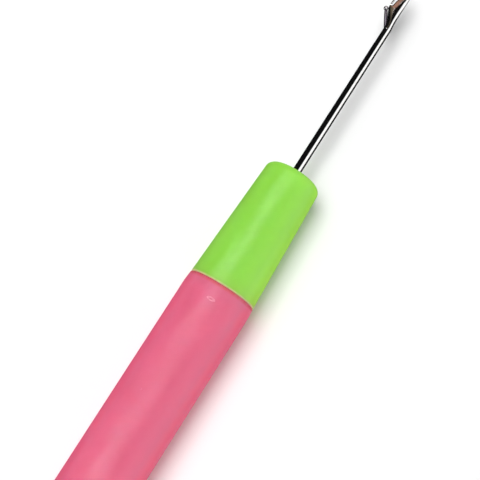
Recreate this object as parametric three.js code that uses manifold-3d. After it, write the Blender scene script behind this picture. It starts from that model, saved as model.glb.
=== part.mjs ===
// Double-ended latch hook: a moulded tube handle with a tapered collar plugged
// into each end, and a bright steel latch needle moulded into each collar.
// Millimetres, +Z up. The tool lies on a table along X with its axis at half the
// handle's diameter, the larger needle towards +X and its hook opening to +Y.
// The smaller needle points to -X and opens to -Y (half a turn about Z).

import * as THREE from 'three';
import { mergeVertices } from 'three/addons/utils/BufferGeometryUtils.js';
import Module from 'manifold-3d';

const wasm = await Module();
wasm.setup();

// ------------------------------------------------------------- dimensions

// handle sleeve
const SLEEVE_D = 12.0;          // across the flats of the round handle
const SLEEVE_LENGTH = 48.0;
const SLEEVE_BORE_D = 9.1;
const RIM_RADIUS = 0.3;         // rounding of each rim
const RIM_DROP = 0.12;          // the last 2 mm draw in by this much
const SHOULDER_GAP = 0.02;      // between a rim and a collar's shoulder
const SIDES = 32;               // facets round the handle and collars

// collars
const COLLAR_LENGTH = 22.5;     // from the shoulder to the end face
const COLLAR_SHOULDER_D = 11.7;
const COLLAR_NOSE_D = 9.76;     // of the cone, carried on to the end face
const COLLAR_NOSE_ROUND = 1.3;
const SPIGOT_D = 9.0;
const SPIGOT_LENGTH = 11.0;
const CORE_D = 5.6;             // cored out from the back, to keep the wall even
const CORE_DEPTH = 11.5;

// needles: the larger one; the smaller one is the same to SMALL_SCALE
const SHAFT_ROOT_R = 0.755;
const SHAFT_TIP_R = 0.69;
const SHANK_LENGTH = 18.5;      // inside the collar
const HOOK_START = 30.2;        // from the collar's end face
const SMALL_SCALE = 0.82;
const SMALL_HOOK_START = 29.4;
const NEEDLE_SIDES = 20;
const MOULD_GAP = 0.03;         // round the shank
const NEEDLE_OFFSET = 0.15;     // of the needle from the handle's axis, towards the hook's opening

// latch
const PIVOT = [30.25, 0.25];    // rivet centre, from the end face and the needle's axis
const LATCH_REACH = 3.855;      // rivet to the middle of the spoon
const LATCH_ANGLE = 29.4;       // of the arm from the shaft, at rest, degrees
const LATCH_THICKNESS = 0.28;
const LATCH_EYE_R = 0.38;
const SPOON_R = 0.4;
const SPOON_FLATTENING = 0.8;   // its thickness to its width
const SLOT_WIDTH = 0.36;
const RIVET_R = 0.20;
const RIVET_GAP = 0.03;

// ------------------------------------------------------------- solids

// a closed geometry as a solid, and back again
function solidOf(geometry) {
  const g = geometry.clone();
  g.deleteAttribute('normal');
  g.deleteAttribute('uv');
  const m = mergeVertices(g, 1e-4);
  const positions = new Float32Array(m.getAttribute('position').array);
  const triangles = new Uint32Array(m.getIndex().array);
  let volume = 0;
  const v = (i) => [positions[3 * i], positions[3 * i + 1], positions[3 * i + 2]];
  for (let i = 0; i < triangles.length; i += 3) {
    const [a, b, c] = [v(triangles[i]), v(triangles[i + 1]), v(triangles[i + 2])];
    volume += a[0] * (b[1] * c[2] - b[2] * c[1]) - a[1] * (b[0] * c[2] - b[2] * c[0]) + a[2] * (b[0] * c[1] - b[1] * c[0]);
  }
  if (volume < 0) {
    for (let i = 0; i < triangles.length; i += 3) {
      const t = triangles[i + 1];
      triangles[i + 1] = triangles[i + 2];
      triangles[i + 2] = t;
    }
  }
  return new wasm.Manifold(new wasm.Mesh({ numProp: 3, vertProperties: positions, triVerts: triangles }));
}

function geometryOf(solid) {
  const mesh = solid.getMesh();
  const g = new THREE.BufferGeometry();
  const count = mesh.vertProperties.length / mesh.numProp;
  const positions = new Float32Array(count * 3);
  for (let i = 0; i < count; i++) {
    for (let k = 0; k < 3; k++) positions[3 * i + k] = mesh.vertProperties[mesh.numProp * i + k];
  }
  g.setAttribute('position', new THREE.BufferAttribute(positions, 3));
  g.setIndex(new THREE.BufferAttribute(new Uint32Array(mesh.triVerts), 1));
  g.computeVertexNormals();
  return g;
}

// [radius, x] pairs turned about the X axis, with a facet facing straight down;
// radii are across the flats
function turned(profile, sides = SIDES) {
  const k = 1 / Math.cos(Math.PI / sides);
  const points = profile.map(([r, x]) => new THREE.Vector2(r * k, x));
  const g = new THREE.LatheGeometry(points, sides, Math.PI / sides);
  g.rotateZ(-Math.PI / 2);
  return g;
}

// a plate cut from an outline in the XY plane, centred on z = 0
function plate(outline, thickness, holes = []) {
  const shape = outline instanceof THREE.Shape ? outline : new THREE.Shape(outline.map(([x, y]) => new THREE.Vector2(x, y)));
  shape.holes = holes;
  const g = new THREE.ExtrudeGeometry(shape, { depth: thickness, bevelEnabled: false, curveSegments: 6 });
  g.translate(0, 0, -thickness / 2);
  return g;
}

// a skin over rounded sections strung along a path in the XY plane; each
// section is { x, y, angle, b, c, p }: its centre, the path's direction, half
// its depth in the plane, half its width across it, and how square it is; the
// half below the centre may have a depth and a squareness of its own, under
function skinned(sections, sides = NEEDLE_SIDES) {
  const positions = [];
  const index = [];
  const power = (value, p) => Math.sign(value) * Math.pow(Math.abs(value), 2 / p);
  for (const s of sections) {
    const mx = -Math.sin(s.angle);
    const my = Math.cos(s.angle);
    for (let j = 0; j < sides; j++) {
      const t = (2 * Math.PI * (j + 0.5)) / sides;
      const [b, p] = s.under && Math.cos(t) < 0 ? s.under : [s.b, s.p];
      const inPlane = b * power(Math.cos(t), p);
      const across = s.c * power(Math.sin(t), p);
      positions.push(s.x + mx * inPlane, s.y + my * inPlane, across);
    }
  }
  const last = sections.length - 1;
  for (let i = 0; i < last; i++) {
    for (let j = 0; j < sides; j++) {
      const a = i * sides + j;
      const b = i * sides + ((j + 1) % sides);
      const c = a + sides;
      const d = b + sides;
      index.push(a, b, d, a, d, c);
    }
  }
  const first = sections[0];
  const end = sections[last];
  const start = positions.length / 3;
  positions.push(first.x, first.y, 0, end.x, end.y, 0);
  for (let j = 0; j < sides; j++) {
    const k = (j + 1) % sides;
    index.push(start, k, j);
    index.push(start + 1, last * sides + j, last * sides + k);
  }
  const g = new THREE.BufferGeometry();
  g.setAttribute('position', new THREE.BufferAttribute(new Float32Array(positions), 3));
  g.setIndex(index);
  return g;
}

// ------------------------------------------------------------- needle

// section of the straight part from its lower and upper edges
const straight = (x, low, high, c, p) => ({ x, y: (low + high) / 2, angle: 0, b: (high - low) / 2, c, p });
const round = (x, r) => straight(x, -r, r, r, 2);

// hook of the larger needle up to its bend: distance from the end face, lower
// edge, widest line, upper edge, half the width, squareness above and below
const HOOK = [
  [30.6, -0.687, 0, 0.69, 0.675, 2.1, 2],
  [31, -0.645, 0.02, 0.69, 0.65, 2.6, 2],
  [31.4, -0.6, 0.05, 0.7, 0.625, 3.4, 2],
  [31.8, -0.56, 0.08, 0.76, 0.6, 4.4, 2],
  [32.2, -0.53, 0.12, 0.93, 0.577, 5.6, 2],
  [32.7, -0.515, 0.16, 1.19, 0.548, 7, 2],
  [33.2, -0.51, 0.18, 1.45, 0.521, 8, 2],
  [33.6, -0.51, 0.2, 1.65, 0.5, 8, 2],
  [33.95, -0.51, 0.2, 1.8, 0.482, 8, 2],
  [34.15, -0.51, 0.2, 1.88, 0.472, 8, 2],
  [34.28, -0.51, 0.2, 1.89, 0.465, 8, 2],
  [34.36, -0.51, 0.2, 1.76, 0.459, 8, 2],
  [34.46, -0.51, 0.2, 1.56, 0.451, 8, 2],
  [34.6, -0.51, 0.2, 1.46, 0.44, 7.5, 2],
  [34.9, -0.51, 0.2, 1.385, 0.417, 6.5, 2],
  [35.4, -0.51, 0.2, 1.31, 0.387, 5.4, 2],
  [35.9, -0.515, 0.18, 1.22, 0.368, 4.4, 2],
  [36.3, -0.52, 0.14, 1.08, 0.36, 3.8, 2.1],
  [36.8, -0.525, 0.08, 0.83, 0.352, 3.2, 2.2],
  [37.4, -0.5, 0.03, 0.58, 0.348, 2.8, 2.3],
];
const BEND_CENTRE = [38.05, 0.8275];
const BEND_RADIUS = 0.8075;
const BEND_DEPTH = [0.42, 0.38, 0.35, 0.328, 0.31, 0.298, 0.285, 0.275, 0.265];
// the beak, running back over the throat: distance, half depth, half width
const BEAK = [
  [37.5, 0.24, 0.245], [36.8, 0.205, 0.215], [36.1, 0.175, 0.195], [35.5, 0.15, 0.18],
  [35.0, 0.14, 0.165], [34.7, 0.13, 0.15], [34.6, 0.12, 0.13], [34.5, 0.09, 0.1], [34.45, 0.045, 0.05],
];
const BEAK_TOP = 1.9;           // its outer edge is straight

function hookSections() {
  const list = HOOK.map(([x, low, y, high, c, p, q]) => ({ x, y, angle: 0, b: high - y, c, p, under: [y - low, q] }));
  BEND_DEPTH.forEach((b, i) => {
    const a = (-90 + 22.5 * i) * Math.PI / 180;
    const c = 0.345 - 0.08 * (i / 8);
    list.push({
      x: BEND_CENTRE[0] + BEND_RADIUS * Math.cos(a),
      y: BEND_CENTRE[1] + BEND_RADIUS * Math.sin(a),
      angle: a + Math.PI / 2, b, c, p: 2.4,
    });
  });
  for (const [x, b, c] of BEAK) {
    list.push({ x, y: BEAK_TOP - b, angle: Math.PI, b, c, p: 2.2 });
  }
  return list;
}

// slot that the latch turns in: ramp that it folds back on to, floor under the
// eye, ramp up to the crest, and out over the top
const SLOT_SIDE = [
  [27.1, 0.688], [29.85, -0.05], [29.95, -0.14], [30.1, -0.19], [30.5, -0.19], [30.72, -0.1],
  [33.6, 1.2], [33.95, 1.45], [34.05, 1.7], [34.05, 2.6], [27.1, 2.6],
];

// shank inside the collar, swaged flat near its end so that it holds
function shankSections(k, gap, end) {
  const at = (x, b, c, p) => straight(x, -(b * k + gap), b * k + gap, c * k + gap, p);
  return [
    at(-end - gap, 0.58, 0.58, 2),
    at(-end + 0.2 - gap, 0.73, 0.73, 2),
    at(-end + 1.2, 0.73, 0.73, 2),
    at(-end + 2.2, 1.0, 0.46, 2.6),
    at(-end + 5.0, 1.0, 0.46, 2.6),
    at(-end + 6.0, 0.73, 0.73, 2),
  ];
}

// all of a needle; k scales the hook and the shaft's thickness
function needleGeometry(k, hookStart) {
  const place = (x) => hookStart + (x - HOOK_START) * k;
  const sections = [
    ...shankSections(k, 0, SHANK_LENGTH),
    round(0, SHAFT_ROOT_R * k),
    round(hookStart * 0.5, (SHAFT_ROOT_R + SHAFT_TIP_R) / 2 * k),
    round(place(28.7), SHAFT_TIP_R * k),
    round(hookStart, SHAFT_TIP_R * k),
    ...hookSections().map((s) => ({ ...s, x: place(s.x), y: s.y * k, b: s.b * k, c: s.c * k, under: s.under && [s.under[0] * k, s.under[1]] })),
  ];
  let solid = solidOf(skinned(sections));
  const slot = SLOT_SIDE.map(([x, y]) => [place(x), y * k]);
  solid = solid.subtract(solidOf(plate(slot, SLOT_WIDTH * k)));
  const hole = new THREE.CylinderGeometry((RIVET_R + RIVET_GAP) * k, (RIVET_R + RIVET_GAP) * k, 2 * k, 16);
  hole.rotateX(Math.PI / 2);
  hole.translate(place(PIVOT[0]), PIVOT[1] * k, 0);
  return geometryOf(solid.subtract(solidOf(hole)));
}

// ------------------------------------------------------------- latch and rivet

// the latch lies along +X from its rivet at the origin: an eye, a thin arm
// that narrows a little, and a small flattened ball for a spoon
function latchGeometry(k) {
  const edge = [[0.6, 0.3], [2.2, 0.295], [2.9, 0.285], [3.3, 0.27], [3.6, 0.25], [3.8, 0.22]];
  const from = Math.asin(0.3 / LATCH_EYE_R);
  const outline = new THREE.Shape();
  outline.moveTo(edge[0][0] * k, -edge[0][1] * k);
  for (const [x, y] of edge.slice(1)) outline.lineTo(x * k, -y * k);
  for (const [x, y] of edge.slice().reverse()) outline.lineTo(x * k, y * k);
  outline.absarc(0, 0, LATCH_EYE_R * k, from, 2 * Math.PI - from, false);
  const eye = new THREE.Path();
  eye.absarc(0, 0, (RIVET_R + RIVET_GAP) * k, 0, 2 * Math.PI, true);
  const arm = solidOf(plate(outline, LATCH_THICKNESS * k, [eye]));
  const spoon = new THREE.SphereGeometry(SPOON_R * k, 16, 12);
  spoon.scale(1, 1, SPOON_FLATTENING);
  spoon.translate(LATCH_REACH * k, 0, 0);
  return geometryOf(arm.add(solidOf(spoon)));
}

// a pin across the slot, its ends ground to the round of the shaft
function rivetGeometry(k) {
  const pin = new THREE.CylinderGeometry(RIVET_R * k, RIVET_R * k, 2 * k, 16);
  pin.rotateX(Math.PI / 2);
  const r = (SHAFT_TIP_R - 0.008) * k;
  const shaft = skinned([
    { x: -1, y: -PIVOT[1] * k, angle: 0, b: r, c: r, p: 2 },
    { x: 1, y: -PIVOT[1] * k, angle: 0, b: r, c: r, p: 2 },
  ]);
  return geometryOf(solidOf(pin).intersect(solidOf(shaft)));
}

// ------------------------------------------------------------- handle

// a quarter round between two profile points, n steps
function corner(cx, cr, radius, from, to, n) {
  const out = [];
  for (let i = 0; i <= n; i++) {
    const a = (from + (to - from) * i / n) * Math.PI / 180;
    out.push([cr + radius * Math.sin(a), cx + radius * Math.cos(a)]);
  }
  return out;
}

function sleeveGeometry() {
  const h = SLEEVE_LENGTH / 2 - SHOULDER_GAP;
  const r = SLEEVE_D / 2;
  const bore = SLEEVE_BORE_D / 2;
  const half = [
    [r, h - 2.2],
    [r - RIM_DROP * 0.4, h - 1.1],
    ...corner(h - RIM_RADIUS, r - RIM_DROP - RIM_RADIUS, RIM_RADIUS, 90, 0, 4),
    [bore + 0.25, h],
    [bore, h - 0.25],
  ];
  const other = half.map(([a, x]) => [a, -x]).reverse();
  const profile = [...half, ...other];
  profile.push(profile[0]);
  return geometryOf(solidOf(turned(profile)));
}

// the collar stands with its shoulder at x = -COLLAR_LENGTH and its end face at 0
function collarGeometry(k) {
  const shoulder = COLLAR_SHOULDER_D / 2;
  const nose = COLLAR_NOSE_D / 2;
  const spigot = SPIGOT_D / 2;
  const edge = COLLAR_NOSE_ROUND;
  const coneAt = (x) => nose + (shoulder - nose) * (-x / COLLAR_LENGTH);
  const back = -COLLAR_LENGTH - SPIGOT_LENGTH;
  const profile = [
    [0, back],
    [spigot - 0.4, back],
    [spigot, back + 0.4],
    [spigot, -COLLAR_LENGTH],
    [shoulder - 0.15, -COLLAR_LENGTH],
    [coneAt(-COLLAR_LENGTH + 0.15), -COLLAR_LENGTH + 0.15],
    [coneAt(-COLLAR_LENGTH / 2), -COLLAR_LENGTH / 2],
    ...corner(-edge, coneAt(-edge) - edge, edge, 90, 0, 6),
    [0, 0],
  ];
  let solid = solidOf(turned(profile));
  const core = turned([[0, back - 1], [CORE_D / 2, back - 1], [CORE_D / 2, back + CORE_DEPTH - 1.2], [CORE_D / 2 - 1.2, back + CORE_DEPTH], [0, back + CORE_DEPTH]]);
  solid = solid.subtract(solidOf(core));
  // the shank's own shape, a hair larger, open at the end face
  const rootR = SHAFT_ROOT_R * k + MOULD_GAP;
  const mould = skinned([
    ...shankSections(k, MOULD_GAP, SHANK_LENGTH),
    straight(0, -rootR, rootR, rootR, 2),
    straight(1, -rootR, rootR, rootR, 2),
  ]);
  mould.translate(0, NEEDLE_OFFSET, 0);
  return geometryOf(solid.subtract(solidOf(mould)));
}

// ------------------------------------------------------------- assembly

const paint = (color, roughness, metalness) => new THREE.MeshStandardMaterial({ color, roughness, metalness });
function piece(name, geometry, material) {
  const mesh = new THREE.Mesh(geometry, material);
  mesh.name = name;
  return mesh;
}

const pink = paint(0xe4718a, 0.42, 0);
const green = paint(0x9bdc58, 0.42, 0);
const steel = paint(0xc9cbcd, 0.16, 1);
const latchSteel = paint(0xa9a7ad, 0.24, 1);
const rivetSteel = paint(0xb4b6b8, 0.3, 1);

// one end of the tool: origin on the collar's end face, needle along +X
function toolEnd(letter, k, hookStart) {
  const end = new THREE.Group();
  end.add(piece(`collar_${letter}`, collarGeometry(k), green));
  const stem = new THREE.Group();
  stem.position.y = NEEDLE_OFFSET;
  end.add(stem);
  stem.add(piece(`needle_${letter}`, needleGeometry(k, hookStart), steel));
  const px = hookStart + (PIVOT[0] - HOOK_START) * k;
  const py = PIVOT[1] * k;
  const latch = piece(`latch_${letter}`, latchGeometry(k), latchSteel);
  latch.position.set(px, py, 0);
  latch.rotation.z = LATCH_ANGLE * Math.PI / 180;
  stem.add(latch);
  const rivet = piece(`rivet_${letter}`, rivetGeometry(k), rivetSteel);
  rivet.position.set(px, py, 0);
  stem.add(rivet);
  return end;
}

const endA = toolEnd('a', 1, HOOK_START);
const endB = toolEnd('b', SMALL_SCALE, SMALL_HOOK_START);
const reach = (end, name) => {
  const g = end.getObjectByName(name).geometry;
  g.computeBoundingBox();
  return g.boundingBox.max.x;
};
const reachA = reach(endA, 'needle_a');
const reachB = reach(endB, 'needle_b');
const total = reachA + reachB + 2 * COLLAR_LENGTH + SLEEVE_LENGTH;

const tool = new THREE.Group();
tool.name = 'latch_hook';
endA.position.x = total / 2 - reachA;
endB.position.x = -total / 2 + reachB;
endB.rotation.z = Math.PI;
const sleeve = piece('handle_sleeve', sleeveGeometry(), pink);
sleeve.position.x = endA.position.x - COLLAR_LENGTH - SLEEVE_LENGTH / 2;
tool.add(sleeve, endA, endB);
tool.position.z = SLEEVE_D / 2;

export default tool;
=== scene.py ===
import math

import bmesh
import bpy
import numpy as np
from mathutils import Matrix, Vector


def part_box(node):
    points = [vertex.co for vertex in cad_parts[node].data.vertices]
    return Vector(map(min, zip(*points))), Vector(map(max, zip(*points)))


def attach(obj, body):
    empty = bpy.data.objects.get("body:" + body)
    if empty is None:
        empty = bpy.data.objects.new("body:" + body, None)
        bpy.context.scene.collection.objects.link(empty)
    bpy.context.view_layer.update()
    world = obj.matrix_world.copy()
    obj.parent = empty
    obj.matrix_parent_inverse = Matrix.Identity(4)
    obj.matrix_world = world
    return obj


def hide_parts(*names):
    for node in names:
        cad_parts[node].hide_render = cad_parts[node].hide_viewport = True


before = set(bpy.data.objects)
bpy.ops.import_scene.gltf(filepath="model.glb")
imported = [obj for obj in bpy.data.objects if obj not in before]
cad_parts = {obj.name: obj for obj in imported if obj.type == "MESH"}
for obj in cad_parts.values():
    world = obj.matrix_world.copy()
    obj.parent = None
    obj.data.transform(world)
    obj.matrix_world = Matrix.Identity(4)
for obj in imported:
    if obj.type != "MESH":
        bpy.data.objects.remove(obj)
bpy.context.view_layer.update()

MM = 0.001

# ------------------------------------------------------------------ sizes (mm)
# the same driving dimensions as the solid model
SLEEVE_D, SLEEVE_LENGTH, SLEEVE_BORE_D = 12.0, 48.0, 9.1
RIM_RADIUS, RIM_DROP, SHOULDER_GAP = 0.3, 0.12, 0.02
COLLAR_LENGTH, SHOULDER_D, NOSE_D, NOSE_ROUND = 22.5, 11.7, 9.76, 1.3
SPIGOT_D, SPIGOT_LENGTH, CORE_D, CORE_DEPTH = 9.0, 11.0, 5.6, 11.5
ROOT_R, TIP_R, SHANK = 0.755, 0.69, 18.5
HOOK_START, SMALL, SMALL_START = 30.2, 0.82, 29.4
PIVOT = (30.25, 0.25)
REACH, ANGLE, THICK, SPOON_R = 3.855, 29.4, 0.28, 0.40
SLOT, RIVET_R, RIVET_GAP = 0.36, 0.20, 0.03
OFFSET = 0.15  # of the needle from the handle's axis, towards the hook's opening
AXIS_Z = 6.0

# studio levels
WALL_TOP, WALL_LOW, ROOM = 0.05, 4.6, 0.05
GLOSS_WALL, GLOSS_ROOM = 1.25, 0.006
BOX_X, BOX_Y, BOX_R, BOX_L = -3.0, 22.0, 6.0, 140.0
KEY_TILT, KEY_SIZE, KEY_W = 17.0, 0.38, 4.4
FILL_TILT, FILL_SIZE, FILL_W = 18.5, 1.1, 7.0
CUP_R, CUP_EDGE, CUP_LEAN = 0.46, 0.14, 0.21  # of the latch's spoon, in its own radii

# where each end's collar face is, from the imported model
face_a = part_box("collar_a")[1].x / MM
face_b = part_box("collar_b")[0].x / MM
sleeve_mid = (face_a - COLLAR_LENGTH + face_b + COLLAR_LENGTH) / 2
END_A = Matrix.Translation((face_a, 0, AXIS_Z))
END_B = Matrix.Translation((face_b, 0, AXIS_Z)) @ Matrix.Rotation(math.pi, 4, "Z")


# ------------------------------------------------------------------ mesh helpers
def make_object(name, verts, faces, smooth_angle=35.0):
    """A mesh object from millimetres in the row frame."""
    me = bpy.data.meshes.new(name)
    me.from_pydata([tuple(v) for v in verts], [], [tuple(f) for f in faces])
    me.validate()
    me.update()
    ob = bpy.data.objects.new(name, me)
    bpy.context.scene.collection.objects.link(ob)
    return ob


def finish_mesh(ob, matrix, smooth_angle=35.0):
    """From millimetres in a local frame to metres in the row frame, smooth shaded, normals out."""
    me = ob.data
    me.transform(matrix)
    me.transform(Matrix.Scale(MM, 4))
    bm = bmesh.new()
    bm.from_mesh(me)
    bmesh.ops.recalc_face_normals(bm, faces=bm.faces)
    bm.to_mesh(me)
    bm.free()
    me.polygons.foreach_set("use_smooth", [True] * len(me.polygons))
    me.set_sharp_from_angle(angle=math.radians(smooth_angle))
    me.update()
    return ob


def apply_boolean(ob, cutter, operation):
    mod = ob.modifiers.new("cut", "BOOLEAN")
    mod.operation = operation
    mod.solver = "EXACT"
    mod.object = cutter
    bpy.context.view_layer.update()
    deps = bpy.context.evaluated_depsgraph_get()
    me = bpy.data.meshes.new_from_object(ob.evaluated_get(deps))
    ob.modifiers.remove(mod)
    old = ob.data
    name = old.name
    ob.data = me
    bpy.data.meshes.remove(old)
    me.name = name
    bpy.data.objects.remove(cutter)


def turned(name, profile, segments, closed):
    """Profile of (radius, x) turned about X. closed: a ring; otherwise both ends are on the axis."""
    verts, faces = [], []
    pts = list(profile)
    ring_of = []
    for r, x in pts:
        if r < 1e-9:
            ring_of.append([len(verts)])
            verts.append((x, 0, 0))
        else:
            ring = []
            for j in range(segments):
                a = 2 * math.pi * j / segments
                ring.append(len(verts))
                verts.append((x, r * math.cos(a), r * math.sin(a)))
            ring_of.append(ring)
    pairs = [(i, i + 1) for i in range(len(pts) - 1)]
    if closed:
        pairs.append((len(pts) - 1, 0))
    for i, k in pairs:
        A, B = ring_of[i], ring_of[k]
        for j in range(segments):
            n = (j + 1) % segments
            if len(A) == 1 and len(B) == 1:
                continue
            if len(A) == 1:
                faces.append((A[0], B[n], B[j]))
            elif len(B) == 1:
                faces.append((A[j], A[n], B[0]))
            else:
                faces.append((A[j], A[n], B[n], B[j]))
    return make_object(name, verts, faces)


def arc(cx, cr, radius, a0, a1, n):
    """Quarter rounds: 0 degrees points along +x, 90 outwards."""
    out = []
    for i in range(n + 1):
        a = math.radians(a0 + (a1 - a0) * i / n)
        out.append((cr + radius * math.sin(a), cx + radius * math.cos(a)))
    return out


def line(p, q, n):
    return [(p[0] + (q[0] - p[0]) * i / n, p[1] + (q[1] - p[1]) * i / n) for i in range(n)]


def pchip(xs, ys, x):
    """Monotone cubic through the key values."""
    xs, ys, x = np.asarray(xs, float), np.asarray(ys, float), np.asarray(x, float)
    h = np.diff(xs)
    d = np.diff(ys) / h
    m = np.zeros(len(xs))
    m[0], m[-1] = d[0], d[-1]
    for i in range(1, len(xs) - 1):
        if d[i - 1] * d[i] > 0:
            w1, w2 = 2 * h[i] + h[i - 1], h[i] + 2 * h[i - 1]
            m[i] = (w1 + w2) / (w1 / d[i - 1] + w2 / d[i])
    i = np.clip(np.searchsorted(xs, x) - 1, 0, len(xs) - 2)
    t = (x - xs[i]) / h[i]
    return ((1 + 2 * t) * (1 - t) ** 2 * ys[i] + t * (1 - t) ** 2 * h[i] * m[i]
            + t * t * (3 - 2 * t) * ys[i + 1] + t * t * (t - 1) * h[i] * m[i + 1])


def skinned(name, sections, sides):
    """Rounded sections (x, y, angle, b, c, p) strung along a path in the XY plane; the depth b and the
    squareness p may each be a pair, for above and below the centre."""
    verts, faces = [], []
    t = 2 * np.pi * (np.arange(sides) + 0.5) / sides
    for x, y, ang, b, c, p in sections:
        b, p = (np.where(np.cos(t) < 0, v[1], v[0]) if isinstance(v, tuple) else v for v in (b, p))
        ci = np.sign(np.cos(t)) * np.abs(np.cos(t)) ** (2 / p) * b
        si = np.sign(np.sin(t)) * np.abs(np.sin(t)) ** (2 / p) * c
        mx, my = -math.sin(ang), math.cos(ang)
        for j in range(sides):
            verts.append((x + mx * ci[j], y + my * ci[j], si[j]))
    n = len(sections)
    for i in range(n - 1):
        for j in range(sides):
            k = (j + 1) % sides
            faces.append((i * sides + j, i * sides + k, (i + 1) * sides + k, (i + 1) * sides + j))
    verts.append((sections[0][0], sections[0][1], 0))
    verts.append((sections[-1][0], sections[-1][1], 0))
    for j in range(sides):
        k = (j + 1) % sides
        faces.append((n * sides, k, j))
        faces.append((n * sides + 1, (n - 1) * sides + j, (n - 1) * sides + k))
    return make_object(name, verts, faces)


def slab(name, outline, thickness, bevel=0.0, segments=2):
    """An outline in the XY plane, extruded evenly about z = 0."""
    bm = bmesh.new()
    low = [bm.verts.new((x, y, -thickness / 2)) for x, y in outline]
    high = [bm.verts.new((x, y, thickness / 2)) for x, y in outline]
    bm.faces.new(list(reversed(low)))
    bm.faces.new(high)
    n = len(outline)
    for i in range(n):
        k = (i + 1) % n
        bm.faces.new((low[i], low[k], high[k], high[i]))
    bmesh.ops.recalc_face_normals(bm, faces=bm.faces)
    if bevel:
        bm.edges.ensure_lookup_table()
        dark_rim_reflection = [e for e in bm.edges if abs(e.verts[0].co.z - e.verts[1].co.z) < 1e-9]
        bmesh.ops.bevel(bm, geom=dark_rim_reflection, offset=bevel, segments=segments, profile=0.6, affect="EDGES")
    me = bpy.data.meshes.new(name)
    bm.to_mesh(me)
    bm.free()
    ob = bpy.data.objects.new(name, me)
    bpy.context.scene.collection.objects.link(ob)
    return ob


# gate marks on the sleeve: place from its middle, turn from the top towards +Y in degrees, size
GATES = [(21.15, 6.0, 1.0), (3.9, 22.0, 0.45), (-21.15, 6.0, 1.0)]

# the shank inside the collar, swaged flat near its end: place, half depth, half width, squareness
SHANK_KEYS = [(-SHANK, 0.58, 0.58, 2), (-SHANK + 0.2, 0.73, 0.73, 2), (-SHANK + 1.2, 0.73, 0.73, 2), (-SHANK + 1.7, 0.86, 0.6, 2.3),
              (-SHANK + 2.2, 1.0, 0.46, 2.6), (-SHANK + 5, 1.0, 0.46, 2.6), (-SHANK + 5.5, 0.86, 0.6, 2.3), (-SHANK + 6, 0.73, 0.73, 2)]


# ------------------------------------------------------------------ handle
def build_sleeve():
    h = SLEEVE_LENGTH / 2 - SHOULDER_GAP
    r, bore = SLEEVE_D / 2, SLEEVE_BORE_D / 2
    half = []
    # outside, middle to rim: a true cylinder that draws in over the last 2.2 mm
    xs = np.concatenate([np.linspace(0, 3.5, 8)[:-1], np.linspace(3.5, 4.3, 17), np.linspace(4.3, h - 3.4, 30)[1:], np.linspace(h - 3.4, h - 2.3, 37)[1:], np.linspace(h - 2.3, h - RIM_RADIUS, 16)[1:]])
    for x in xs:
        s = max(0.0, (x - (h - 2.3)) / (2.3 - RIM_RADIUS))
        half.append((r - RIM_DROP * s * s, x))
    top = r - RIM_DROP - RIM_RADIUS
    half += arc(h - RIM_RADIUS, top, RIM_RADIUS, 90, 0, 10)[1:]
    half += [(bore + 0.25, h), (bore + 0.1, h - 0.06), (bore, h - 0.25)]
    inner = [(bore, x) for x in np.linspace(h - 0.6, 0, 12)]
    half += inner
    other = [(a, -x) for a, x in half if x > 1e-9][::-1]
    first = [p for p in half]
    profile = first + other
    ob = turned("sleeve_skin", profile, 320, True)
    # where the plastic was let into the mould: a small oblong crater with a raised lip, in a shallow sink
    for gx, turn, size in GATES:
        for v in ob.data.vertices:
            x, y, z = v.co
            rad = math.hypot(y, z)
            if rad < bore + 0.6 or abs(x - gx) > 2.5:
                continue
            across = r * (math.atan2(y, z) - math.radians(turn))
            if abs(across) > 3:
                continue
            e = math.hypot((x - gx) / 0.17, across / 0.60) / size
            lift = size * (0.045 * math.exp(-((e - 1.0) / 0.4) ** 2) - 0.05 * math.exp(-(e / 0.6) ** 2))
            lift -= 0.03 * size * math.exp(-((x - gx - 0.5) ** 2 + across * across) / 1.3)
            v.co = Vector((x, y * (rad + lift) / rad, z * (rad + lift) / rad))
    return ob


def build_collar(name, k):
    sh, nose, sp = SHOULDER_D / 2, NOSE_D / 2, SPIGOT_D / 2
    back = -COLLAR_LENGTH - SPIGOT_LENGTH
    cone = lambda x: nose + (sh - nose) * (-x / COLLAR_LENGTH)
    root = ROOT_R * k + 0.03
    prof = [(0, back + CORE_DEPTH)]
    prof += [(CORE_D / 2 - 1.2, back + CORE_DEPTH), (CORE_D / 2, back + CORE_DEPTH - 1.2), (CORE_D / 2, back + 0.2), (CORE_D / 2 + 0.2, back)]
    prof += [(sp - 0.4, back), (sp, back + 0.4)]
    prof += [(sp, x) for x in np.linspace(back + 1, -COLLAR_LENGTH - 0.2, 12)]
    prof += [(sp + 0.12, -COLLAR_LENGTH)]
    prof += [(sh - 0.17, -COLLAR_LENGTH)]
    prof += [(a, b) for a, b in arc(-COLLAR_LENGTH + 0.15, cone(-COLLAR_LENGTH + 0.15) - 0.15, 0.15, 180, 90, 6)]
    prof += [(cone(x), x) for x in np.linspace(-COLLAR_LENGTH + 0.4, -NOSE_ROUND - 0.1, 64)]
    prof += arc(-NOSE_ROUND, cone(-NOSE_ROUND) - NOSE_ROUND, NOSE_ROUND, 90, 0, 20)
    prof += [(2.6, 0.0), (1.6, 0.0), (0, 0.0)]
    ob = turned(name, prof, 256, False)
    # the shank's own shape, a hair larger; the moulding draws in a little round the steel
    gap = 0.03
    sections = [(x - gap if i < 2 else x, 0.0, 0.0, b * k + gap, c * k + gap, p) for i, (x, b, c, p) in enumerate(SHANK_KEYS)]
    for x, r in ((-9.0, root), (-6.0, root), (-3.0, root), (-0.35, root), (-0.16, root + 0.02), (-0.05, root + 0.12), (-0.012, root + 0.28), (0.02, root + 0.45), (0.5, root + 0.45)):
        sections.append((x, 0.0, 0.0, r, r, 2))
    mould = skinned(name + "_mould", [(x, y + OFFSET, a, b, c, p) for x, y, a, b, c, p in sections], 64)
    apply_boolean(ob, mould, "DIFFERENCE")
    return ob


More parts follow.
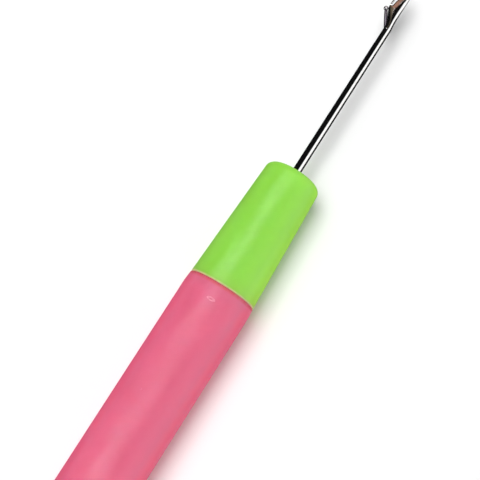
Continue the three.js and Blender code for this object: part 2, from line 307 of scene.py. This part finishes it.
# ------------------------------------------------------------------ needles
KEYS = [  # u, lower edge, widest line, upper edge, half width, squareness above and below
    (27.0, -0.69, 0, 0.69, 0.69, 2, 2), (30.2, -0.69, 0, 0.69, 0.69, 2, 2),
    (30.6, -0.687, 0, 0.69, 0.675, 2.1, 2), (31, -0.645, 0.02, 0.69, 0.65, 2.6, 2),
    (31.4, -0.6, 0.05, 0.7, 0.625, 3.4, 2), (31.8, -0.56, 0.08, 0.76, 0.6, 4.4, 2),
    (32.2, -0.53, 0.12, 0.93, 0.577, 5.6, 2), (32.7, -0.515, 0.16, 1.19, 0.548, 7, 2),
    (33.2, -0.51, 0.18, 1.45, 0.521, 8, 2), (33.6, -0.51, 0.2, 1.65, 0.5, 8, 2),
    (33.95, -0.51, 0.2, 1.8, 0.482, 8, 2), (34.15, -0.51, 0.2, 1.88, 0.472, 8, 2),
    (34.28, -0.51, 0.2, 1.89, 0.465, 8, 2), (34.36, -0.51, 0.2, 1.76, 0.459, 8, 2),
    (34.46, -0.51, 0.2, 1.56, 0.451, 8, 2), (34.6, -0.51, 0.2, 1.46, 0.44, 7.5, 2),
    (34.9, -0.51, 0.2, 1.385, 0.417, 6.5, 2), (35.4, -0.51, 0.2, 1.31, 0.387, 5.4, 2),
    (35.9, -0.515, 0.18, 1.22, 0.368, 4.4, 2), (36.3, -0.52, 0.14, 1.08, 0.36, 3.8, 2.1),
    (36.8, -0.525, 0.08, 0.83, 0.352, 3.2, 2.2), (37.4, -0.5, 0.03, 0.58, 0.348, 2.8, 2.3),
    (38.05, -0.4, 0.02, 0.44, 0.345, 2.4, 2.4),
]
BEND = [0.42, 0.38, 0.35, 0.328, 0.31, 0.298, 0.285, 0.275, 0.265]
BEAK = [(38.05, 0.265, 0.265), (37.5, 0.24, 0.245), (36.8, 0.205, 0.215), (36.1, 0.175, 0.195), (35.5, 0.15, 0.18), (35.0, 0.14, 0.165), (34.7, 0.13, 0.15), (34.6, 0.12, 0.13), (34.5, 0.09, 0.10), (34.45, 0.045, 0.05)]
# the sawn slot, seen from the side: back ramp, floor under the rivet, front ramp, and out over the top
SLOT_SIDE = [(27.1, 0.688), (29.85, -0.05), (29.95, -0.14), (30.1, -0.19), (30.5, -0.19), (30.72, -0.1), (33.6, 1.20), (33.95, 1.45), (34.05, 1.7), (34.05, 2.6), (27.1, 2.6)]


def needle_sections(k, start):
    place = lambda u: start + (u - HOOK_START) * k
    out = []
    add = lambda u, lo, hi, c, p: out.append((u, (lo + hi) / 2, 0.0, (hi - lo) / 2, c, p))
    for u, b, c, p in SHANK_KEYS:
        add(u, -b * k, b * k, c * k, p)
    for u in np.linspace(-11, place(28.7), 44)[:-1]:
        r = ROOT_R if u < 0 else ROOT_R + (TIP_R - ROOT_R) * min(1.0, u / place(28.7))
        add(u, -r * k, r * k, r * k, 2.0)
    K = np.array(KEYS)
    us = np.concatenate([np.linspace(28.7, 30.2, 6), np.linspace(30.2, 34.2, 60)[1:], np.linspace(34.2, 34.6, 17)[1:], np.linspace(34.6, 38.05, 44)[1:-1]])
    cols = [pchip(K[:, 0], K[:, i], us) for i in range(1, 7)]
    for i, u in enumerate(us):
        lo, mid, hi, c, p, q = (float(col[i]) for col in cols)
        out.append((place(u), mid * k, 0.0, ((hi - mid) * k, (mid - lo) * k), c * k, (p, q)))
    # bend
    cx, cy, R = 38.05, 0.8275, 0.8075
    n = 40
    bs = pchip(np.linspace(0, 1, 9), BEND, np.linspace(0, 1, n + 1))
    for i in range(n + 1):
        a = math.radians(-90 + 180 * i / n)
        c = 0.345 - 0.08 * i / n
        out.append((place(cx + R * math.cos(a)), (cy + R * math.sin(a)) * k, a + math.pi / 2, bs[i] * k, c * k, 2.4))
    # beak
    B = np.array(BEAK[::-1])
    us = np.concatenate([np.linspace(38.05, 34.7, 44)[1:], np.linspace(34.7, 34.45, 10)[1:]])
    bb, cc = pchip(B[:, 0], B[:, 1], us), pchip(B[:, 0], B[:, 2], us)
    for i, u in enumerate(us):
        out.append((place(u), (1.9 - bb[i]) * k, math.pi, bb[i] * k, cc[i] * k, 2.2))
    return out, place


def build_needle(name, k, start):
    sections, place = needle_sections(k, start)
    ob = skinned(name, sections, 48)
    cutter = slab(name + "_slot", [(place(x), y * k) for x, y in SLOT_SIDE], SLOT * k)
    apply_boolean(ob, cutter, "DIFFERENCE")
    n = 40
    hole = [(place(PIVOT[0]) + (RIVET_R + 0.02) * k * math.cos(2 * math.pi * i / n), PIVOT[1] * k + (RIVET_R + 0.02) * k * math.sin(2 * math.pi * i / n)) for i in range(n)]
    cutter = slab(name + "_hole", hole, 2.2 * k)
    apply_boolean(ob, cutter, "DIFFERENCE")
    return ob


def build_latch(name, k):
    eye = 0.38
    outline = []
    a0, a1 = math.asin(0.30 / eye), 2 * math.pi - math.asin(0.30 / eye)
    for i in range(31):
        a = a0 + (a1 - a0) * i / 30
        outline.append((eye * math.cos(a), eye * math.sin(a)))
    low = [(0.6, -0.30), (1.4, -0.30), (2.2, -0.295), (2.9, -0.285), (3.3, -0.27), (3.6, -0.25), (3.8, -0.22)]
    outline += low + [(x, -y) for x, y in low[::-1]]
    outline = [(x * k, y * k) for x, y in outline]
    ob = slab(name, outline, THICK * k, bevel=0.05 * k, segments=4)
    # the spoon: a small flattened ball with a cup in each side, its floor leaning away from the opening
    bm = bmesh.new()
    bmesh.ops.create_uvsphere(bm, u_segments=72, v_segments=96, radius=1.0)
    lean = math.radians(ANGLE)
    for v in bm.verts:
        d = v.co.copy()
        rho = math.hypot(d.x, d.y)
        z = 0.80 * (1 - min(1.0, rho) ** 3.2) ** (1 / 2.2)
        q = min(1.0, max(0.0, (CUP_R + CUP_EDGE - rho) / CUP_EDGE))
        q = q * q * (3 - 2 * q)
        cup = 0.56 + CUP_LEAN * (math.sin(lean) * d.x + math.cos(lean) * d.y)
        z = z * (1 - q) + cup * q
        v.co = Vector((d.x * SPOON_R, d.y * SPOON_R, math.copysign(z, d.z) * SPOON_R))
        v.co = Vector((v.co.x + REACH, v.co.y, v.co.z)) * k
    me = bpy.data.meshes.new(name + "_spoon")
    bm.to_mesh(me)
    bm.free()
    spoon = bpy.data.objects.new(name + "_spoon", me)
    bpy.context.scene.collection.objects.link(spoon)
    apply_boolean(ob, spoon, "UNION")
    n = 40
    hole = [((RIVET_R + RIVET_GAP) * k * math.cos(2 * math.pi * i / n), (RIVET_R + RIVET_GAP) * k * math.sin(2 * math.pi * i / n)) for i in range(n)]
    apply_boolean(ob, slab(name + "_eye", hole, 1.0 * k), "DIFFERENCE")
    return ob


def build_rivet(name, k):
    """A pin ground flush with the round of the needle: x, y from the pivot, z across."""
    n, rows = 48, 10
    r, shaft = RIVET_R * k, (TIP_R - 0.006) * k
    verts, faces, rings = [], [], []

    def height(y):
        return math.sqrt(max(0.0, shaft * shaft - (y + PIVOT[1] * k) ** 2))

    for side in (1, -1):
        rows_here = []
        for i in range(rows + 1):
            q = r * i / rows
            ring = []
            for j in range(1 if i == 0 else n):
                a = 2 * math.pi * j / n
                x, y = q * math.cos(a), q * math.sin(a)
                z = height(y) - (0.012 * k if i == rows else 0.0)
                ring.append(len(verts))
                verts.append((x, y, side * z))
            rows_here.append(ring)
        rings.append(rows_here)
        for i in range(rows):
            A, B = rows_here[i], rows_here[i + 1]
            for j in range(n):
                m = (j + 1) % n
                faces.append((A[0], B[j], B[m]) if len(A) == 1 else (A[j], B[j], B[m], A[m]))
    for j in range(n):
        m = (j + 1) % n
        faces.append((rings[0][rows][j], rings[1][rows][j], rings[1][rows][m], rings[0][rows][m]))
    return make_object(name, verts, faces)


# ------------------------------------------------------------------ build
sleeve = finish_mesh(build_sleeve(), Matrix.Translation((sleeve_mid, 0, AXIS_Z)))
pieces = {"sleeve_skin": (sleeve, "handle_sleeve", "handle", "handle_pink")}
spoons = []  # the centre of each latch's spoon and its radius
for letter, k, start, end in (("a", 1.0, HOOK_START, END_A), ("b", SMALL, SMALL_START, END_B)):
    collar = finish_mesh(build_collar("collar_skin_" + letter, k), end)
    stem = end @ Matrix.Translation((0, OFFSET, 0))
    needle = finish_mesh(build_needle("needle_skin_" + letter, k, start), stem, 40)
    px, py = start + (PIVOT[0] - HOOK_START) * k, PIVOT[1] * k
    at_pivot = stem @ Matrix.Translation((px, py, 0))
    latch = finish_mesh(build_latch("latch_skin_" + letter, k), at_pivot @ Matrix.Rotation(math.radians(ANGLE), 4, "Z"), 40)
    rivet = finish_mesh(build_rivet("rivet_skin_" + letter, k), at_pivot, 50)
    spoons.append((at_pivot @ Matrix.Rotation(math.radians(ANGLE), 4, "Z") @ Vector((REACH * k, 0, 0)), SPOON_R * k))
    pieces["collar_skin_" + letter] = (collar, "collar_" + letter, "handle", "collar_green")
    pieces["needle_skin_" + letter] = (needle, "needle_" + letter, "handle", "needle_plating")
    pieces["latch_skin_" + letter] = (latch, "latch_" + letter, "latch_" + letter, "latch_steel")
    pieces["rivet_skin_" + letter] = (rivet, "rivet_" + letter, "handle", "rivet_steel")


# ------------------------------------------------------------------ materials
def new_material(name):
    mat = bpy.data.materials.new(name)
    mat.use_nodes = True
    nt = mat.node_tree
    nt.nodes.clear()
    out = nt.nodes.new("ShaderNodeOutputMaterial")
    bsdf = nt.nodes.new("ShaderNodeBsdfPrincipled")
    nt.links.new(bsdf.outputs[0], out.inputs[0])
    return mat, nt, bsdf


def node(nt, kind, **values):
    n = nt.nodes.new(kind)
    for key, value in values.items():
        if key.startswith("in_"):
            n.inputs[key[3:].replace("_", " ")].default_value = value
        else:
            setattr(n, key, value)
    return n


def object_mm(nt):
    """Object coordinates in millimetres."""
    tc = nt.nodes.new("ShaderNodeTexCoord")
    m = nt.nodes.new("ShaderNodeMapping")
    m.inputs["Scale"].default_value = (1000, 1000, 1000)
    nt.links.new(tc.outputs["Object"], m.inputs["Vector"])
    return m.outputs["Vector"]


def noise(nt, vec, scale, detail=4.0, rough=0.5, stretch=None):
    if stretch:
        m = nt.nodes.new("ShaderNodeMapping")
        m.inputs["Scale"].default_value = stretch
        nt.links.new(vec, m.inputs["Vector"])
        vec = m.outputs["Vector"]
    n = nt.nodes.new("ShaderNodeTexNoise")
    n.inputs["Scale"].default_value = scale
    n.inputs["Detail"].default_value = detail
    n.inputs["Roughness"].default_value = rough
    nt.links.new(vec, n.inputs["Vector"])
    return n.outputs["Fac"]


def ramp(nt, fac, stops):
    r = nt.nodes.new("ShaderNodeValToRGB")
    r.color_ramp.elements[0].position, r.color_ramp.elements[0].color = stops[0][0], (*stops[0][1], 1)
    r.color_ramp.elements[1].position, r.color_ramp.elements[1].color = stops[-1][0], (*stops[-1][1], 1)
    for pos, col in stops[1:-1]:
        e = r.color_ramp.elements.new(pos)
        e.color = (*col, 1)
    nt.links.new(fac, r.inputs["Fac"])
    return r.outputs["Color"]


def span(nt, value, lo, hi, a=0.0, b=1.0, smooth=True):
    m = nt.nodes.new("ShaderNodeMapRange")
    if smooth:
        m.interpolation_type = "SMOOTHSTEP"
    m.inputs["From Min"].default_value = lo
    m.inputs["From Max"].default_value = hi
    m.inputs["To Min"].default_value = a
    m.inputs["To Max"].default_value = b
    nt.links.new(value, m.inputs["Value"])
    return m.outputs["Result"]


def math_node(nt, op, a, b=None):
    m = nt.nodes.new("ShaderNodeMath")
    m.operation = op
    for i, v in enumerate((a, b)):
        if v is None:
            continue
        if isinstance(v, (int, float)):
            m.inputs[i].default_value = v
        else:
            nt.links.new(v, m.inputs[i])
    return m.outputs[0]


def mix(nt, fac, a, b, blend="MIX"):
    m = nt.nodes.new("ShaderNodeMix")
    m.data_type = "RGBA"
    m.blend_type = blend
    sockets = [s for s in m.inputs if s.enabled]
    fac_s, a_s, b_s = sockets[0], sockets[1], sockets[2]
    for sock, v in ((fac_s, fac), (a_s, a), (b_s, b)):
        if isinstance(v, (int, float)):
            sock.default_value = v
        elif isinstance(v, tuple):
            sock.default_value = (*v, 1)
        else:
            nt.links.new(v, sock)
    return [s for s in m.outputs if s.enabled][0]


def separate(nt, vec):
    s = nt.nodes.new("ShaderNodeSeparateXYZ")
    nt.links.new(vec, s.inputs[0])
    return s.outputs


def bump(nt, bsdf, height, strength, distance_m):
    b = nt.nodes.new("ShaderNodeBump")
    b.inputs["Strength"].default_value = strength
    b.inputs["Distance"].default_value = distance_m
    nt.links.new(height, b.inputs["Height"])
    nt.links.new(b.outputs[0], bsdf.inputs["Normal"])


def plastic(name, base, dark, light, sss_radius, seam_x, seam_shading_tint, seam_width, rough, weight, painted_side_light, marks=()):
    mat, nt, bsdf = new_material(name)
    vec = object_mm(nt)
    xyz = separate(nt, vec)
    blotch = noise(nt, vec, 0.16, 3.0, 0.55)
    streak = noise(nt, vec, 0.9, 4.0, 0.6, stretch=(0.25, 1, 1))
    col = ramp(nt, blotch, [(0.3, dark), (0.5, base), (0.72, light)])
    col = mix(nt, span(nt, streak, 0.35, 0.75, 0.0, 0.25), col, light)
    # flanks: painted side light, the colour mixed by place across Y: lighter towards the -Y side that the wall lights,
    # and on the pink also a redder +Y edge as a painted glow through the plastic
    for lo, hi, tint in painted_side_light:
        col = mix(nt, span(nt, xyz[1], lo, hi), col, tint)
    # ends: painted seam shading along the edge that meets its neighbour, a pale highlight line on the green and a
    # deeper red shade on the pink
    near = None
    for x in seam_x:
        d = math_node(nt, "ABSOLUTE", math_node(nt, "SUBTRACT", xyz[0], x))
        m = span(nt, d, seam_width[0], seam_width[1], 1.0, 0.0)
        near = m if near is None else math_node(nt, "MAXIMUM", near, m)
    if near is not None:
        seam_shading = math_node(nt, "MULTIPLY", near, span(nt, noise(nt, vec, 1.6, 3.0), 0.3, 0.6, 0.55, 1.0))
        col = mix(nt, seam_shading, col, seam_shading_tint)
    # gate marks: smoother plastic there, and a pale ring on each crater's lip painted in as a highlight
    spots = []
    for x, turn, size in marks:
        off = nt.nodes.new("ShaderNodeVectorMath")
        off.operation = "SUBTRACT"
        nt.links.new(vec, off.inputs[0])
        off.inputs[1].default_value = (x, SLEEVE_D / 2 * math.sin(math.radians(turn)), AXIS_Z + SLEEVE_D / 2 * math.cos(math.radians(turn)))
        squash = nt.nodes.new("ShaderNodeVectorMath")
        squash.operation = "MULTIPLY"
        nt.links.new(off.outputs[0], squash.inputs[0])
        squash.inputs[1].default_value = (2.4, 1.0, 1.0)
        length = nt.nodes.new("ShaderNodeVectorMath")
        length.operation = "LENGTH"
        nt.links.new(squash.outputs[0], length.inputs[0])
        spots.append((length.outputs["Value"], size))
        ring = math_node(nt, "MULTIPLY", span(nt, length.outputs["Value"], 0.15 * size, 0.4 * size), span(nt, length.outputs["Value"], 0.9 * size, 0.65 * size))
        gate_highlight = math_node(nt, "MULTIPLY", ring, span(nt, noise(nt, vec, 2.6, 3.0, 0.6), 0.38, 0.62, 0.3 * size, 0.75 * size))
        col = mix(nt, gate_highlight, col, (1.0, 0.38, 0.52))
    nt.links.new(col, bsdf.inputs["Base Color"])
    bsdf.inputs["Subsurface Weight"].default_value = weight
    bsdf.inputs["Subsurface Radius"].default_value = sss_radius
    bsdf.inputs["Subsurface Scale"].default_value = 0.001
    bsdf.inputs["IOR"].default_value = 1.49
    bsdf.inputs["Specular IOR Level"].default_value = 0.4
    handled = noise(nt, vec, 0.35, 5.0, 0.6)
    fine = noise(nt, vec, 7.0, 6.0, 0.65)
    scuffs = noise(nt, vec, 2.2, 2.0, 0.5, stretch=(1, 6, 6))
    r = math_node(nt, "ADD", span(nt, handled, 0.3, 0.7, rough - 0.05, rough + 0.06), span(nt, scuffs, 0.66, 0.8, 0.0, 0.12))
    for far, size in spots:
        r = mix(nt, span(nt, far, 0.8 * size, 1.15 * size, 1.0, 0.0), r, (0.14, 0.14, 0.14))
    nt.links.new(r, bsdf.inputs["Roughness"])
    height = math_node(nt, "ADD", math_node(nt, "MULTIPLY", fine, 0.35), math_node(nt, "MULTIPLY", noise(nt, vec, 0.55, 2.0, 0.5), 1.6))
    height = math_node(nt, "ADD", height, span(nt, scuffs, 0.68, 0.8, 0.0, -0.5))
    bump(nt, bsdf, height, 0.5, 0.00003)
    return mat


def steel(name, base, rough, tint=None, tint_amount=0.0, line_dir=(1, 1, 1), coarse=1.0, painted_rims=()):
    mat, nt, bsdf = new_material(name)
    vec = object_mm(nt)
    bsdf.inputs["Metallic"].default_value = 1.0
    lines = noise(nt, vec, 9.0 * coarse, 4.0, 0.6, stretch=line_dir)
    spots = noise(nt, vec, 2.4, 5.0, 0.65)
    col = ramp(nt, spots, [(0.25, tuple(c * 0.86 for c in base)), (0.55, base), (0.8, tuple(min(1, c * 1.06) for c in base))])
    if tint:
        patch = span(nt, noise(nt, vec, 1.1, 4.0, 0.6), 0.42, 0.62, 0.0, tint_amount)
        col = mix(nt, patch, col, tint)
    # the rolled rims of the spoons: a darker ring painted round each spoon, as painted reflection of dark surroundings
    for centre, radius in painted_rims:
        away = separate(nt, vec)
        dx, dy = (math_node(nt, "SUBTRACT", away[i], centre[i]) for i in (0, 1))
        far = math_node(nt, "SQRT", math_node(nt, "ADD", math_node(nt, "MULTIPLY", dx, dx), math_node(nt, "MULTIPLY", dy, dy)))
        dark_rim_reflection = math_node(nt, "MULTIPLY", span(nt, far, 0.50 * radius, 0.64 * radius), span(nt, far, 1.05 * radius, 1.3 * radius, 1.0, 0.0))
        col = mix(nt, dark_rim_reflection, col, tuple(c * 0.42 for c in base))
    nt.links.new(col, bsdf.inputs["Base Color"])
    r = math_node(nt, "ADD", span(nt, spots, 0.3, 0.75, rough * 0.75, rough * 1.35), span(nt, lines, 0.5, 0.85, 0.0, rough * 0.5))
    nt.links.new(r, bsdf.inputs["Roughness"])
    bump(nt, bsdf, lines, 0.15, 0.000004)
    return mat


shoulder_a = face_a - COLLAR_LENGTH
shoulder_b = face_b + COLLAR_LENGTH
painted_rims = [shoulder_a - 0.15, shoulder_b + 0.15]
marks = [(sleeve_mid + x, turn, size) for x, turn, size in GATES]
# pink: deeper red painted seam shade at its ends, painted side light across Y (brighter towards -Y, redder at the +Y
# edge), and painted highlight rings at the gate marks
pink = plastic("handle_pink", (0.75, 0.130, 0.231), (0.73, 0.122, 0.216), (0.765, 0.139, 0.246), (5.0, 1.0, 1.5), painted_rims, (0.73, 0.08, 0.10), (0.10, 0.62), 0.58, 0.9,
               [(4.4, 5.7, (0.84, 0.108, 0.207)), (-0.6, -3.2, (0.80, 0.150, 0.253)), (-3.9, -5.6, (1.0, 0.136, 0.228))], marks)
# green: a pale painted highlight line at each shoulder, and painted side light brighter towards -Y
green = plastic("collar_green", (0.262, 0.622, 0.069), (0.254, 0.602, 0.063), (0.270, 0.638, 0.078), (4.0, 5.0, 0.8), [shoulder_a, shoulder_b], (0.78, 0.73, 0.34), (0.07, 0.30), 0.44, 0.8,
                [(1.0, -2.5, (0.282, 0.640, 0.072)), (-3.2, -5.4, (0.37, 0.76, 0.085))])
plating = steel("needle_plating", (0.83, 0.82, 0.81), 0.07, line_dir=(0.06, 1, 1))
# the dark rings round the latch spoons are painted reflection
latch_mat = steel("latch_steel", (0.62, 0.60, 0.64), 0.09, tint=(0.50, 0.46, 0.40), tint_amount=0.3, painted_rims=spoons)
rivet_mat = steel("rivet_steel", (0.62, 0.61, 0.62), 0.22)
MATS = {"handle_pink": pink, "collar_green": green, "needle_plating": plating, "latch_steel": latch_mat, "rivet_steel": rivet_mat}

for name, (ob, cad, body, slot) in pieces.items():
    ob.data.materials.clear()
    ob.data.materials.append(MATS[slot])
    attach(ob, body)
    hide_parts(cad)

# ------------------------------------------------------------------ floor
me = bpy.data.meshes.new("table")
me.from_pydata([(-1.5, -1.5, 0), (1.5, -1.5, 0), (1.5, 1.5, 0), (-1.5, 1.5, 0)], [], [(0, 1, 2, 3)])
table = bpy.data.objects.new("table", me)
bpy.context.scene.collection.objects.link(table)
mat, nt, bsdf = new_material("white_table")
vec = object_mm(nt)
nt.links.new(ramp(nt, noise(nt, vec, 0.02, 2.0), [(0.3, (0.935, 0.935, 0.935)), (0.7, (0.955, 0.955, 0.955))]), bsdf.inputs["Base Color"])
bsdf.inputs["Roughness"].default_value = 0.9
bsdf.inputs["Specular IOR Level"].default_value = 0.0
me.materials.append(mat)
table.visible_glossy = False

# ------------------------------------------------------------------ light
# a studio with a white wall on the right (-Y), a dark room on the left (+Y) and a soft box overhead
world = bpy.data.worlds.new("studio")
bpy.context.scene.world = world
world.use_nodes = True
nt = world.node_tree
nt.nodes.clear()
wout = nt.nodes.new("ShaderNodeOutputWorld")
bg = nt.nodes.new("ShaderNodeBackground")
bg.inputs["Strength"].default_value = 1.0
tc = nt.nodes.new("ShaderNodeTexCoord")
xyz = separate(nt, tc.outputs["Generated"])
right = span(nt, xyz[1], 0.03, -0.03, 0.0, 1.0)
above = span(nt, xyz[2], -0.03, 0.03, 0.0, 1.0)
wall = span(nt, xyz[2], 0.25, 0.05, WALL_TOP, WALL_LOW)
lit = math_node(nt, "MULTIPLY", math_node(nt, "MULTIPLY", right, above), wall)
nt.links.new(math_node(nt, "ADD", lit, ROOM), bg.inputs["Color"])
# what shiny surfaces mirror: the same wall, evenly white, the dark room and the soft box
bg_gloss = nt.nodes.new("ShaderNodeBackground")
right = span(nt, xyz[1], -0.17, -0.31, 0.0, 1.0)
above = span(nt, xyz[2], 0.16, 0.26, 0.0, 1.0)
lit = math_node(nt, "MULTIPLY", math_node(nt, "MULTIPLY", right, above), GLOSS_WALL)
dot = nt.nodes.new("ShaderNodeVectorMath")
dot.operation = "DOT_PRODUCT"
nt.links.new(tc.outputs["Generated"], dot.inputs[0])
dot.inputs[1].default_value = Vector((math.sin(math.radians(BOX_X)), math.sin(math.radians(BOX_Y)), 0.92)).normalized()
box_glow = span(nt, dot.outputs["Value"], math.cos(math.radians(BOX_R + 2)), math.cos(math.radians(BOX_R - 2)), 0.0, BOX_L)
lit = math_node(nt, "ADD", lit, box_glow)
nt.links.new(math_node(nt, "ADD", lit, GLOSS_ROOM), bg_gloss.inputs["Color"])
lp = nt.nodes.new("ShaderNodeLightPath")
mixer = nt.nodes.new("ShaderNodeMixShader")
nt.links.new(lp.outputs["Is Glossy Ray"], mixer.inputs["Fac"])
nt.links.new(bg.outputs[0], mixer.inputs[1])
nt.links.new(bg_gloss.outputs[0], mixer.inputs[2])
nt.links.new(mixer.outputs[0], wout.inputs[0])


def area(name, at, target, size, size_y, watts, colour=(1, 1, 1), glossy=True):
    d = bpy.data.lights.new(name, "AREA")
    d.shape = "RECTANGLE"
    d.size, d.size_y = size, size_y
    d.energy = watts
    d.color = colour
    o = bpy.data.objects.new(name, d)
    bpy.context.scene.collection.objects.link(o)
    o.location = at
    o.rotation_euler = (Vector(target) - Vector(at)).to_track_quat("-Z", "Y").to_euler()
    o.visible_glossy = glossy
    return o


# key: the soft box, a little off the vertical on the side of the hook's opening
tilt = math.radians(KEY_TILT)
key = area("key", (0.01, 0.9 * math.sin(tilt), 0.9 * math.cos(tilt)), (0.01, 0, 0), KEY_SIZE, KEY_SIZE, KEY_W, glossy=False)
# fill: the bright ceiling round it
tilt = math.radians(FILL_TILT)
fill = area("fill", (0.01, math.sin(tilt), math.cos(tilt)), (0.01, 0, 0), FILL_SIZE, FILL_SIZE, FILL_W, glossy=False)

# a small painted card beside the lens, mirrored only by the flat faces of the photographed hook:
# grey for the latch, then olive, a pale line and brown, and black along its edge
CARD = ((0.0945, -0.001), (0.120, -0.001), (0.120, 0.034), (0.0945, 0.034))
me = bpy.data.meshes.new("card")
me.from_pydata([(x, y, 0.046) for x, y in CARD], [], [(0, 3, 2, 1)])
card = bpy.data.objects.new("card", me)
bpy.context.scene.collection.objects.link(card)
mat = bpy.data.materials.new("card")
mat.use_nodes = True
nt = mat.node_tree
nt.nodes.clear()
out = nt.nodes.new("ShaderNodeOutputMaterial")
glow = nt.nodes.new("ShaderNodeEmission")
at = separate(nt, object_mm(nt))
latch_part = math_node(nt, "MULTIPLY", span(nt, at[0], 97.8, 97.4), span(nt, at[1], 5.0, 4.0))
arm = mix(nt, span(nt, at[0], 94.8, 97.0), (0.82, 0.76, 0.87), (0.47, 0.43, 0.50))
paint = mix(nt, latch_part, (0.010, 0.009, 0.010), arm)
olive = mix(nt, span(nt, at[0], 99.8, 103.2), (0.060, 0.050, 0.036), (0.155, 0.128, 0.090))
paint = mix(nt, span(nt, at[0], 97.7, 98.3), paint, olive)
paint = mix(nt, span(nt, at[0], 103.6, 104.6), paint, (0.42, 0.22, 0.16))
paint = mix(nt, span(nt, at[1], 1.1, 1.9), (0.004, 0.004, 0.004), paint)
line_x = math_node(nt, "MULTIPLY", span(nt, at[0], 102.9, 103.4), span(nt, at[0], 106.4, 105.4))
line_y = math_node(nt, "MULTIPLY", span(nt, at[1], 1.2, 1.4), span(nt, at[1], 1.95, 1.7))
paint = mix(nt, math_node(nt, "MULTIPLY", line_x, line_y), paint, (0.95, 0.90, 0.86))
nt.links.new(paint, glow.inputs["Color"])
nt.links.new(glow.outputs[0], out.inputs[0])
me.materials.append(mat)
card.visible_camera = card.visible_diffuse = card.visible_shadow = False
card.visible_transmission = card.visible_volume_scatter = False

# ------------------------------------------------------------------ camera
# pinhole fitted to the outlines: focal length 999 px at 480 px
cam_data = bpy.data.cameras.new("camera")
cam_data.sensor_fit = "HORIZONTAL"
cam_data.sensor_width = 36.0
cam_data.lens = 998.85 / 480.0 * 36.0
cam_data.shift_x, cam_data.shift_y = -0.5 / 480, 0.5 / 480
cam_data.clip_start, cam_data.clip_end = 0.005, 10
cam = bpy.data.objects.new("camera", cam_data)
bpy.context.scene.collection.objects.link(cam)
CAM_RIGHT = Vector((0.5310452, -0.8439601, 0.0756457))
CAM_UP = Vector((0.8278749, 0.5357991, 0.1659594))
CAM_BACK = Vector((-0.1805940, -0.0255068, 0.9832269))
cam.matrix_world = Matrix.Translation((0.001958, -0.002340, 0.165468)) @ Matrix((CAM_RIGHT, CAM_UP, CAM_BACK)).transposed().to_4x4()
bpy.context.scene.camera = cam

bpy.context.scene.view_settings.view_transform = "Standard"
bpy.context.scene.view_settings.look = "None"
